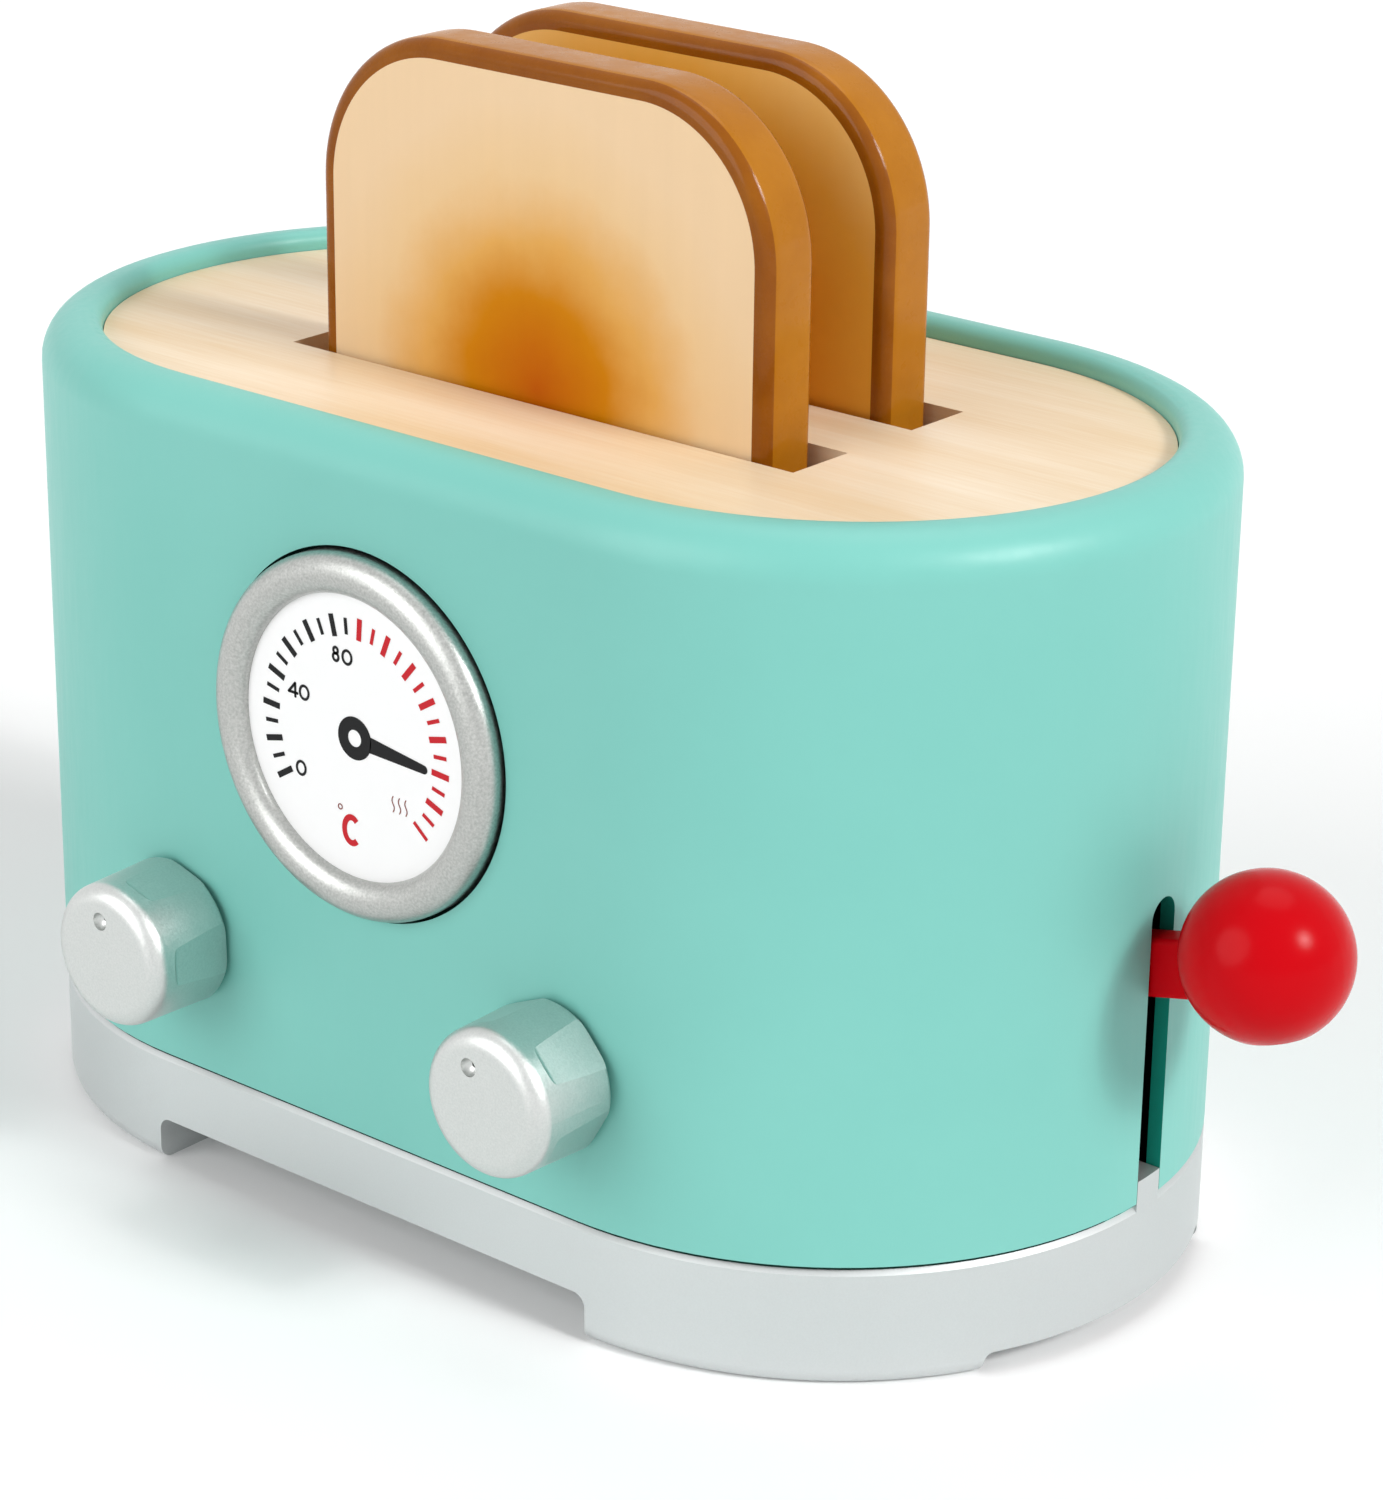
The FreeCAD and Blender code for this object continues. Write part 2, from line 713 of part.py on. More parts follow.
def wire_section():
    """The spring wire's section at the start of the coil, with few sides to keep the facets down."""
    corners = []
    for n in range(wire_sides + 1):
        angle = radians(n * 360 / wire_sides)
        corners.append(Vector(spring_mean_radius + spring_wire_radius * cos(angle), 0,
                              spring_wire_radius * sin(angle)))
    return Part.makePolygon(corners)


def make_return_springs():
    """Two coil springs round the rods, between the base and the carriage's bosses."""
    low = base_height + spring_wire_radius + spring_end_gap
    high = boss_bottom - spring_wire_radius - spring_end_gap
    coils = []
    for x, y in rod_places:
        path = Part.makeHelix((high - low) / spring_turns, high - low, spring_mean_radius)
        coil = Part.Wire(path.Edges).makePipeShell([wire_section()], True, True)
        coil.translate(Vector(x, y, low))
        coils.append(coil)
    print("spring gap between turns", (high - low) / spring_turns - 2 * spring_wire_radius)
    return Part.makeCompound(coils)


def build():
    pieces = {
        "base_plinth": make_base_plinth(),
        "casing": make_casing(),
        "top_panel": make_top_panel(),
        "base_screws": make_base_screws(),
        "dial_bezel": make_dial_bezel(),
        "dial_disc": make_dial_disc(),
        "front_guide_board": guide_board_solid(-1),
        "rear_guide_board": guide_board_solid(1),
        "front_slice": make_slice(slot_centres[0]),
        "rear_slice": make_slice(slot_centres[1]),
        "lever_handle": make_lever_handle(),
        "lever_bar": make_lever_bar(),
        "lever_screws": make_lever_screws(),
        "link_pin": make_link_pin(),
        "pivot_bracket": make_pivot_bracket(),
        "pivot_pin": make_pivot_pin(),
        "bracket_screws": make_bracket_screws(),
        "lift_carriage": make_lift_carriage(),
        "carriage_bushes": make_carriage_bushes(),
        "carriage_bumpers": make_carriage_bumpers(),
        "guide_rods": make_guide_rods(),
        "return_springs": make_return_springs(),
    }
    for side, x, first_flat, marker_angle in knob_places:
        pieces[side + "_knob"] = make_knob(x, first_flat, marker_angle)
        pieces[side + "_knob_felt"] = make_knob_felt(x)
        pieces[side + "_knob_axle"] = make_knob_axle(x)
        pieces[side + "_knob_washer"] = make_knob_washer(x)
    return pieces


def footprint_shift():
    """From the middle of the body to the middle of the whole footprint."""
    right = ball_x + ball_radius
    front = knob_back_y - knob_length
    return Vector(-(right - half_length) / 2, -(front + half_width) / 2, 0)


os.makedirs("parts", exist_ok=True)
for name, shape in build().items():
    shape.translate(footprint_shift())
    solids = shape.Solids
    if not solids or not shape.isValid():
        print("not valid:", name)
    shape.exportStep("parts/" + name + ".step")
    print(name, len(solids), round(shape.Volume, 1))
print("shift", footprint_shift(), "link drop", (link_z - pivot_z) * (cos(radians(lever_drop_angle)) - 1)
      - (link_x - pivot_x) * sin(radians(lever_drop_angle)))
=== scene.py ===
import math

import bmesh
import bpy
from mathutils import Matrix, Vector


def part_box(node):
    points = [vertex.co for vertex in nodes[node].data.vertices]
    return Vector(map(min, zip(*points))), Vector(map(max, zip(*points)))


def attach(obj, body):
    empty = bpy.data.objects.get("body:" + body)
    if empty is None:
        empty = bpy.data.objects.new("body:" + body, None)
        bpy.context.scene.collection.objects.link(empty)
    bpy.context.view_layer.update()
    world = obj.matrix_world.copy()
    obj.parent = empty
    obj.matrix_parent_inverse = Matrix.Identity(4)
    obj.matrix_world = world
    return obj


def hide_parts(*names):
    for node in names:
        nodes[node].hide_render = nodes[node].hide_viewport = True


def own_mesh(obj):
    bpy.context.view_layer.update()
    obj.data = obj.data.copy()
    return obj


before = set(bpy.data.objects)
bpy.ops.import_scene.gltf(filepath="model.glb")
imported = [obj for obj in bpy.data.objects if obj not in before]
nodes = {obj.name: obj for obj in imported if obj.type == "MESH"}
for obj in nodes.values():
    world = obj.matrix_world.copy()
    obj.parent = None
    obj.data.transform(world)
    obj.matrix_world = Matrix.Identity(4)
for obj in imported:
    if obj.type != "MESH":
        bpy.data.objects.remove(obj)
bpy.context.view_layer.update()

# Toy toaster, dressed round the fixed frame. Metres, +X towards the lever, -Y towards the dial, +Z up.

MM = 0.001


# Sizes and places, read from the frame

def middle(node):
    low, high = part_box(node)
    return (low + high) / 2


body_low, body_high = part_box("casing")
body_middle = middle("casing")
half_width = (body_high.y - body_low.y) / 2
half_straight = (body_high.x - body_low.x) / 2 - half_width


# Camera, as the photograph was taken

CAMERA_PLACE = (346.033, -400.746, 260.472)
CAMERA_AZIMUTH = 39.761
CAMERA_ELEVATION = 21.288
CAMERA_ROLL = 0.771
CAMERA_FOCAL_PIXELS = 4314.97
PHOTO_HEIGHT = 1500
SENSOR = 36.0


def make_camera():
    azimuth = math.radians(CAMERA_AZIMUTH)
    elevation = math.radians(CAMERA_ELEVATION)
    roll = math.radians(CAMERA_ROLL)
    back = Vector((math.sin(azimuth) * math.cos(elevation),
                   -math.cos(azimuth) * math.cos(elevation),
                   math.sin(elevation)))
    level = Vector((0, 0, 1)).cross(back).normalized()
    up = back.cross(level)
    right = level * math.cos(roll) + up * math.sin(roll)
    top = up * math.cos(roll) - level * math.sin(roll)
    data = bpy.data.cameras.new("camera")
    data.sensor_width = SENSOR
    data.sensor_fit = "AUTO"
    data.lens = CAMERA_FOCAL_PIXELS * SENSOR / PHOTO_HEIGHT
    data.clip_start = 0.01
    camera = bpy.data.objects.new("camera", data)
    bpy.context.scene.collection.objects.link(camera)
    turn = Matrix((right, top, back)).transposed().to_4x4()
    place = Vector(CAMERA_PLACE) * MM + Vector((body_middle.x, body_middle.y, 0))
    camera.matrix_world = Matrix.Translation(place) @ turn
    bpy.context.scene.camera = camera


# Light and floor, at a plain level

WHITE = (1.0, 1.0, 1.0, 1.0)


def area_light(name, place, target, size, power):
    data = bpy.data.lights.new(name, "AREA")
    data.shape = "DISK"
    data.size = size
    data.energy = power
    light = bpy.data.objects.new(name, data)
    bpy.context.scene.collection.objects.link(light)
    light.location = place
    aim = Vector(place) - Vector(target)
    light.rotation_euler = aim.to_track_quat("Z", "Y").to_euler()
    return light


LIGHT_DISTANCE = 6.0
LIGHT_TARGET = Vector((0.0, 0.0, 0.06))
# A face turned to a lamp of this power shows its colour as written.
PLAIN_POWER = math.pi ** 2 * LIGHT_DISTANCE ** 2
# Name, direction, size across and share of the plain power.
LAMPS = (
    ("key", Vector((0.82, 0.05, 0.60)), 2.0, 0.53),
    ("glint", Vector((0.82, 0.05, 0.60)), 0.4, 0.12),
    ("fill", Vector((-0.30, -0.85, 0.42)), 5.0, 0.47),
    ("top", Vector((-0.10, 0.30, 1.00)), 4.0, 0.19),
)


def make_lights():
    for name, side, size, share in LAMPS:
        place = LIGHT_TARGET + side.normalized() * LIGHT_DISTANCE
        area_light(name, place, LIGHT_TARGET, size, share * PLAIN_POWER)


def seen_directly(tree):
    """1 for rays from the camera, from gloss and through glass, 0 for the light that falls on things."""
    path = tree.nodes.new("ShaderNodeLightPath")
    first = tree.nodes.new("ShaderNodeMath")
    first.operation = "MAXIMUM"
    second = tree.nodes.new("ShaderNodeMath")
    second.operation = "MAXIMUM"
    tree.links.new(path.outputs["Is Camera Ray"], first.inputs[0])
    tree.links.new(path.outputs["Is Glossy Ray"], first.inputs[1])
    tree.links.new(first.outputs[0], second.inputs[0])
    tree.links.new(path.outputs["Is Transmission Ray"], second.inputs[1])
    return second.outputs[0]


AMBIENT = 0.36


def make_world():
    world = bpy.data.worlds.new("world")
    bpy.context.scene.world = world
    world.use_nodes = True
    tree = world.node_tree
    tree.nodes.clear()
    soft = tree.nodes.new("ShaderNodeBackground")
    soft.inputs["Color"].default_value = WHITE
    soft.inputs["Strength"].default_value = AMBIENT
    seen = tree.nodes.new("ShaderNodeBackground")
    seen.inputs["Color"].default_value = WHITE
    seen.inputs["Strength"].default_value = 1.0
    mix = tree.nodes.new("ShaderNodeMixShader")
    out = tree.nodes.new("ShaderNodeOutputWorld")
    tree.links.new(seen_directly(tree), mix.inputs[0])
    tree.links.new(soft.outputs[0], mix.inputs[1])
    tree.links.new(seen.outputs[0], mix.inputs[2])
    tree.links.new(mix.outputs[0], out.inputs[0])


FLOOR_HALF = 3.0
FLOOR_COLOUR = (0.93, 0.93, 0.93, 1.0)
NEAR_GLOW = 0.05
FAR_GLOW = 0.7
NEAR_REACH = 0.12
FAR_REACH = 3.0


def make_floor():
    mesh = bpy.data.meshes.new("floor")
    corners = [(x * FLOOR_HALF, y * FLOOR_HALF, 0) for x, y in ((-1, -1), (1, -1), (1, 1), (-1, 1))]
    mesh.from_pydata(corners, [], [(0, 1, 2, 3)])
    floor = bpy.data.objects.new("floor", mesh)
    bpy.context.scene.collection.objects.link(floor)
    material = bpy.data.materials.new("floor")
    material.use_nodes = True
    tree = material.node_tree
    tree.nodes.clear()
    matt = tree.nodes.new("ShaderNodeBsdfDiffuse")
    matt.inputs["Color"].default_value = FLOOR_COLOUR
    glow = tree.nodes.new("ShaderNodeEmission")
    glow.inputs["Color"].default_value = WHITE
    reach = tree.nodes.new("ShaderNodeVectorMath")
    reach.operation = "LENGTH"
    tree.links.new(object_place(tree), reach.inputs[0])
    level = remap(tree, reach.outputs["Value"], NEAR_REACH, FAR_REACH, NEAR_GLOW, FAR_GLOW)
    strength = tree.nodes.new("ShaderNodeMath")
    strength.operation = "MULTIPLY"
    tree.links.new(level, strength.inputs[1])
    tree.links.new(seen_directly(tree), strength.inputs[0])
    tree.links.new(strength.outputs[0], glow.inputs["Strength"])
    both = tree.nodes.new("ShaderNodeAddShader")
    out = tree.nodes.new("ShaderNodeOutputMaterial")
    tree.links.new(matt.outputs[0], both.inputs[0])
    tree.links.new(glow.outputs[0], both.inputs[1])
    tree.links.new(both.outputs[0], out.inputs[0])
    mesh.materials.append(material)


# Mesh helpers, in millimetres about the middle of the body

# Degrees between faces over which an edge stays crisp.
SHARP_EDGE = 35.0
# The same for the pieces that come from the frame.
SHARP_CAD_EDGE = 28.0


def to_frame(points):
    """From millimetres about the body's middle to the frame's metres."""
    shift = Vector((body_middle.x, body_middle.y, 0))
    return [Vector(p) * MM + shift for p in points]


def new_piece(name, points, faces, materials, body="root"):
    """A smooth-shaded piece that rides on a body."""
    mesh = bpy.data.meshes.new(name)
    mesh.from_pydata(to_frame(points), [], faces)
    mesh.validate()
    for material in materials:
        mesh.materials.append(material)
    piece = bpy.data.objects.new(name, mesh)
    bpy.context.scene.collection.objects.link(piece)
    fix_normals(mesh)
    shade(piece, SHARP_EDGE)
    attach(piece, body)
    return piece


def fix_normals(mesh):
    work = bmesh.new()
    work.from_mesh(mesh)
    bmesh.ops.recalc_face_normals(work, faces=work.faces)
    work.to_mesh(mesh)
    work.free()


def shade(piece, sharp):
    for polygon in piece.data.polygons:
        polygon.use_smooth = True
    piece.data.set_sharp_from_angle(angle=math.radians(sharp))


def arc(centre, radius, start, end, steps):
    """Points of an arc in a plane, as pairs; angles in degrees."""
    points = []
    for step in range(steps + 1):
        angle = math.radians(start + (end - start) * step / steps)
        points.append((centre[0] + radius * math.cos(angle), centre[1] + radius * math.sin(angle)))
    return points


def loft(rings, closed=False, caps=False):
    """Quads between rings of equal length; closed joins the last ring to the first."""
    count = len(rings[0])
    points = [p for ring in rings for p in ring]
    faces = []
    spans = len(rings) if closed else len(rings) - 1
    for row in range(spans):
        low = row * count
        high = ((row + 1) % len(rings)) * count
        for step in range(count):
            after = (step + 1) % count
            faces.append((low + step, low + after, high + after, high + step))
    if caps:
        faces.append(tuple(range(count))[::-1])
        top = (len(rings) - 1) * count
        faces.append(tuple(range(top, top + count)))
    return points, faces


def turned(profile, centre, steps):
    """Rings of a profile of (radius, y) turned about the Y line through centre (x, z)."""
    rings = []
    for radius, y in profile:
        ring = []
        for step in range(steps):
            angle = 2 * math.pi * step / steps
            ring.append((centre[0] + radius * math.cos(angle), y, centre[1] + radius * math.sin(angle)))
        rings.append(ring)
    return rings


def cutter(name, points, faces):
    mesh = bpy.data.meshes.new(name)
    mesh.from_pydata(to_frame(points), [], faces)
    piece = bpy.data.objects.new(name, mesh)
    bpy.context.scene.collection.objects.link(piece)
    fix_normals(mesh)
    return piece


def box_mesh(x0, x1, y0, y1, z0, z1):
    points = [(x, y, z) for x in (x0, x1) for y in (y0, y1) for z in (z0, z1)]
    faces = [(0, 1, 3, 2), (4, 6, 7, 5), (0, 4, 5, 1), (2, 3, 7, 6), (0, 2, 6, 4), (1, 5, 7, 3)]
    return points, faces


def carve(piece, cutters):
    """Cuts the cutters out of piece."""
    for tool in cutters:
        cut = piece.modifiers.new("cut", "BOOLEAN")
        cut.operation = "DIFFERENCE"
        cut.solver = "EXACT"
        cut.object = tool
    apply_modifiers(piece)
    for tool in cutters:
        bpy.data.objects.remove(tool)


def apply_modifiers(piece):
    graph = bpy.context.evaluated_depsgraph_get()
    result = bpy.data.meshes.new_from_object(piece.evaluated_get(graph))
    piece.modifiers.clear()
    old = piece.data
    piece.data = result
    bpy.data.meshes.remove(old)


# Materials

def new_material(name, specular=0.5):
    material = bpy.data.materials.new(name)
    material.use_nodes = True
    tree = material.node_tree
    shader = tree.nodes["Principled BSDF"]
    shader.inputs["Specular IOR Level"].default_value = specular
    return material, tree, shader


def object_place(tree, scale=(1.0, 1.0, 1.0)):
    """Object coordinates, stretched by scale."""
    coordinates = tree.nodes.new("ShaderNodeTexCoord")
    mapping = tree.nodes.new("ShaderNodeMapping")
    mapping.inputs["Scale"].default_value = scale
    tree.links.new(coordinates.outputs["Object"], mapping.inputs["Vector"])
    return mapping.outputs[0]


def noise(tree, place, scale, detail=3.0, rough=0.5):
    texture = tree.nodes.new("ShaderNodeTexNoise")
    texture.inputs["Scale"].default_value = scale
    texture.inputs["Detail"].default_value = detail
    texture.inputs["Roughness"].default_value = rough
    tree.links.new(place, texture.inputs["Vector"])
    return texture.outputs["Fac"]


def ramp(tree, value, stops):
    """A colour ramp; stops are (position, colour)."""
    node = tree.nodes.new("ShaderNodeValToRGB")
    elements = node.color_ramp.elements
    while len(elements) < len(stops):
        elements.new(0.5)
    for element, (position, colour) in zip(elements, stops):
        element.position = position
        element.color = colour
    tree.links.new(value, node.inputs[0])
    return node.outputs[0]


def remap(tree, value, low, high, new_low, new_high):
    node = tree.nodes.new("ShaderNodeMapRange")
    node.inputs["From Min"].default_value = low
    node.inputs["From Max"].default_value = high
    node.inputs["To Min"].default_value = new_low
    node.inputs["To Max"].default_value = new_high
    tree.links.new(value, node.inputs["Value"])
    return node.outputs[0]


# The values between which most of a noise lies.
NOISE_LOW = 0.3
NOISE_HIGH = 0.7


def spread(tree, speckle, low, high):
    """Takes a noise to the range from low to high."""
    return remap(tree, speckle, NOISE_LOW, NOISE_HIGH, low, high)


def vary(tree, shader, speckle, low, high):
    """Lets the roughness follow a noise."""
    tree.links.new(spread(tree, speckle, low, high), shader.inputs["Roughness"])


def tint(tree, shader, speckle, dark, light):
    """Lets the colour follow a noise."""
    colour = ramp(tree, speckle, [(NOISE_LOW, dark), (NOISE_HIGH, light)])
    tree.links.new(colour, shader.inputs["Base Color"])


def bump(tree, shader, height, distance, strength=0.5):
    node = tree.nodes.new("ShaderNodeBump")
    node.inputs["Strength"].default_value = strength
    node.inputs["Distance"].default_value = distance
    tree.links.new(height, node.inputs["Height"])
    tree.links.new(node.outputs[0], shader.inputs["Normal"])


def grey(level):
    return (level, level, level, 1.0)


def srgb(red, green, blue):
    """A colour given as 0 to 255 display values, in the linear values that shaders take."""
    linear = []
    for value in (red, green, blue):
        share = value / 255
        linear.append(share / 12.92 if share <= 0.04045 else ((share + 0.055) / 1.055) ** 2.4)
    return (*linear, 1.0)


def mint_paint():
    """Satin paint over fine-grained wood: small drifts of tone and a faint brushed grain."""
    material, tree, shader = new_material("mint_paint", specular=0.4)
    drift = noise(tree, object_place(tree), scale=18.0, detail=4.0)
    tint(tree, shader, drift, srgb(121, 196, 185), srgb(127, 201, 190))
    grain = noise(tree, object_place(tree, (1.0, 1.0, 0.12)), scale=900.0, detail=4.0, rough=0.6)
    vary(tree, shader, grain, 0.36, 0.46)
    bump(tree, shader, grain, distance=0.00002)
    return material


def silver_paint(name, light, dark, grain, depth, roughness, metallic):
    """Silver paint: fine metal flakes that vary a little in tone and gloss."""
    material, tree, shader = new_material(name)
    place = object_place(tree)
    speck = noise(tree, place, grain, rough=0.6)
    tint(tree, shader, speck, dark, light)
    vary(tree, shader, speck, roughness - 0.04, roughness + 0.06)
    shader.inputs["Metallic"].default_value = metallic
    bump(tree, shader, speck, depth)
    return material


FINE_GRAIN_SHARE = 0.35


def natural_wood(name, pale, dark):
    """Pale lacquered wood with a long faint grain."""
    material, tree, shader = new_material(name, specular=0.35)
    place = object_place(tree, (1.0, 9.0, 9.0))
    broad = noise(tree, place, scale=14.0, detail=5.0, rough=0.55)
    fine = noise(tree, object_place(tree, (1.0, 26.0, 26.0)), scale=60.0, detail=4.0, rough=0.6)
    both = tree.nodes.new("ShaderNodeMath")
    both.operation = "MULTIPLY_ADD"
    both.inputs[1].default_value = FINE_GRAIN_SHARE
    tree.links.new(fine, both.inputs[0])
    tree.links.new(broad, both.inputs[2])
    colour = ramp(tree, both.outputs[0], [(0.45, pale), (0.9, dark)])
    tree.links.new(colour, shader.inputs["Base Color"])
    vary(tree, shader, fine, 0.34, 0.5)
    bump(tree, shader, fine, distance=0.00003)
    return material


DARKER_SHARE = 0.88


def plain_finish(name, colour, roughness, metallic=0.0, grain=400.0, depth=0.00001):
    """A plain finish with a small variation of tone and gloss."""
    material, tree, shader = new_material(name, specular=0.2)
    speck = noise(tree, object_place(tree), grain)
    darker = (*[level * DARKER_SHARE for level in colour[:3]], 1.0)
    tree.links.new(ramp(tree, speck, [(0.3, darker), (0.6, colour)]), shader.inputs["Base Color"])
    vary(tree, shader, speck, roughness * 0.85, roughness * 1.2)
    shader.inputs["Metallic"].default_value = metallic
    bump(tree, shader, speck, depth)
    return material


def flat_colour(name, colour, roughness=0.5, specular=0.2):
    """One even tone, for print, white card and painted shade."""
    material, tree, shader = new_material(name, specular)
    shader.inputs["Base Color"].default_value = colour
    shader.inputs["Roughness"].default_value = roughness
    return material


def red_plastic():
    """Gloss moulded plastic with a very faint ripple."""
    material, tree, shader = new_material("red_plastic", specular=0.08)
    drift = noise(tree, object_place(tree), scale=25.0, detail=2.0)
    tint(tree, shader, drift, srgb(196, 2, 14), srgb(202, 4, 18))
    vary(tree, shader, drift, 0.2, 0.24)
    return material


def crust_paint(name, light, dark, roughness):
    """Brown crust paint, glossy and a little uneven, with pits that catch the light."""
    material, tree, shader = new_material(name, specular=0.06)
    place = object_place(tree)
    drift = noise(tree, place, scale=70.0, detail=4.0, rough=0.6)
    tint(tree, shader, drift, dark, light)
    pits = noise(tree, place, scale=420.0, detail=4.0, rough=0.65)
    vary(tree, shader, pits, roughness - 0.08, roughness + 0.12)
    bump(tree, shader, pits, distance=0.00012, strength=0.6)
    shader.inputs["Coat Weight"].default_value = 0.22
    shader.inputs["Coat Roughness"].default_value = 0.09
    return material


TOAST_CENTRE_HEIGHT = 107.0
TOAST_WOBBLE = 1.2
LIGHT_TOAST_RADIUS = 36.0
LIGHT_TOAST = [
    (0.0, srgb(194, 92, 0)),
    (0.32, srgb(210, 132, 4)),
    (0.52, srgb(231, 174, 92)),
    (0.76, srgb(241, 205, 156)),
    (1.0, srgb(243, 211, 171)),
]
# The rear slice's patch, wider and browner than the front's: the same printed toast, with painted shade and
# painted brown bounce light from the front slice.
REAR_TOAST_AND_SHADE_RADIUS = 56.0
REAR_TOAST_AND_SHADE = [
    (0.0, srgb(190, 84, 0)),
    (0.35, srgb(224, 144, 26)),
    (0.65, srgb(241, 177, 68)),
    (0.85, srgb(243, 196, 122)),
    (1.0, srgb(242, 204, 156)),
]


def toasted_face(name, radius, stops):
    """Pale bread with a browned round patch that fades outwards."""
    material, tree, shader = new_material(name, specular=0.08)
    centre = Vector((body_middle.x, 0.0, TOAST_CENTRE_HEIGHT * MM))
    coordinates = tree.nodes.new("ShaderNodeTexCoord")
    mapping = tree.nodes.new("ShaderNodeMapping")
    mapping.inputs["Location"].default_value = (-centre.x, 0.0, -centre.z)
    tree.links.new(coordinates.outputs["Object"], mapping.inputs["Vector"])
    flat = tree.nodes.new("ShaderNodeVectorMath")
    flat.operation = "MULTIPLY"
    flat.inputs[1].default_value = (1.0, 0.0, 1.0)
    tree.links.new(mapping.outputs[0], flat.inputs[0])
    length = tree.nodes.new("ShaderNodeVectorMath")
    length.operation = "LENGTH"
    tree.links.new(flat.outputs[0], length.inputs[0])
    drift = noise(tree, object_place(tree), scale=90.0, detail=4.0, rough=0.6)
    wobble = spread(tree, drift, -TOAST_WOBBLE * MM, TOAST_WOBBLE * MM)
    reach = tree.nodes.new("ShaderNodeMath")
    reach.operation = "ADD"
    tree.links.new(length.outputs["Value"], reach.inputs[0])
    tree.links.new(wobble, reach.inputs[1])
    share = remap(tree, reach.outputs[0], 0.0, radius * MM, 0.0, 1.0)
    toasted = ramp(tree, share, stops)
    grain = noise(tree, object_place(tree, (14.0, 14.0, 1.0)), scale=22.0, detail=5.0, rough=0.6)
    veins = ramp(tree, grain, [(0.35, grey(0.98)), (0.7, grey(1.0))])
    mix = tree.nodes.new("ShaderNodeMix")
    mix.data_type = "RGBA"
    mix.blend_type = "MULTIPLY"
    mix.inputs["Factor"].default_value = 1.0
    tree.links.new(toasted, mix.inputs["A"])
    tree.links.new(veins, mix.inputs["B"])
    tree.links.new(mix.outputs["Result"], shader.inputs["Base Color"])
    vary(tree, shader, grain, 0.32, 0.45)
    bump(tree, shader, grain, distance=0.00002, strength=0.4)
    return material


# Slices of toast

SLICE_CORNER = 20.5
SLICE_FOOT_CORNER = 7.0
SLICE_EDGE = 1.9
SLICE_BORDER = 2.5
SLICE_CORNER_STEPS = 32
SLICE_EDGE_STEPS = 8


def slice_outline(inset, low, high, half, y):
    """The slice's outline drawn in by inset, as a ring at y."""
    top = SLICE_CORNER - inset
    foot = SLICE_FOOT_CORNER - inset
    right = half - inset
    z0 = low + inset
    z1 = high - inset
    steps = SLICE_CORNER_STEPS
    flat = arc((right - foot, z0 + foot), foot, -90, 0, steps)
    flat += arc((right - top, z1 - top), top, 0, 90, steps)
    flat += arc((-right + top, z1 - top), top, 90, 180, steps)
    flat += arc((-right + foot, z0 + foot), foot, 180, 270, steps)
    return [(x, y, z) for x, z in flat]


def make_slice(name, node, face, crust, band):
    """A slice with pale faces, a darker eased band round each face and a glossy edge; the band's darker
    brown is partly a printed border and partly painted shade.
    """
    low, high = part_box(node)
    half = (high.x - low.x) / 2 / MM
    y0 = (low.y - body_middle.y) / MM
    y1 = (high.y - body_middle.y) / MM
    profile = [(SLICE_BORDER, y0)]
    for inset, back in arc((SLICE_EDGE, SLICE_EDGE), SLICE_EDGE, 270, 180, SLICE_EDGE_STEPS):
        profile.append((inset, y0 + back))
    for inset, back in arc((SLICE_EDGE, SLICE_EDGE), SLICE_EDGE, 180, 270, SLICE_EDGE_STEPS):
        profile.append((inset, y1 - back))
    profile.append((SLICE_BORDER, y1))
    rings = [slice_outline(inset, low.z / MM, high.z / MM, half, y) for inset, y in profile]
    points, faces = loft(rings, caps=True)
    piece = new_piece(name, points, faces, [face, crust, band], node)
    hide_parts(node)
    return piece


# Casing, with the shallow round recess that the dial's ring sits in

RECESS_RADIUS = 24.0
RECESS_DEPTH = 1.5
DIAL_OFFSET = 0.8
# In millimetres about the body's middle, as (x, z).
dial_middle = ((middle("dial_disc").x - body_middle.x) / MM + DIAL_OFFSET, middle("dial_disc").z / MM)
RECESS_STEPS = 160
# Past this depth in from the outline, faces take near-black painted shade; the slot's relief reaches twice
# as far.
INSIDE_INSET = 9.5
SEAM_SHADE_HEIGHT = 1.0
SLOT_WALL = 2.3
SLOT_RELIEF_HALF = 7.0
SLOT_RELIEF_TOP = 59.5
SKIN = 0.3
# How far down a face must look to take the painted shade of the seam.
LOOKS_DOWN = -0.3


def outline_inset(point):
    """How far a point lies inside the body's outline."""
    beyond = max(abs(point.x - body_middle.x) - half_straight, 0)
    return half_width - math.hypot(beyond, point.y - body_middle.y)


def casing_cutters():
    """The dial's recess, and the relief that leaves only a thin wall round the lever's slot."""
    front = -half_width / MM
    profile = [(RECESS_RADIUS, front - RECESS_DEPTH), (RECESS_RADIUS, front + RECESS_DEPTH)]
    recess = cutter("recess", *loft(turned(profile, dial_middle, RECESS_STEPS), caps=True))
    nose = (half_straight + half_width) / MM
    relief = box_mesh(nose - 2 * INSIDE_INSET, nose - SLOT_WALL, -SLOT_RELIEF_HALF, SLOT_RELIEF_HALF,
                      body_low.z / MM - SLOT_WALL, SLOT_RELIEF_TOP)
    return [recess, cutter("slot_relief", *relief)]


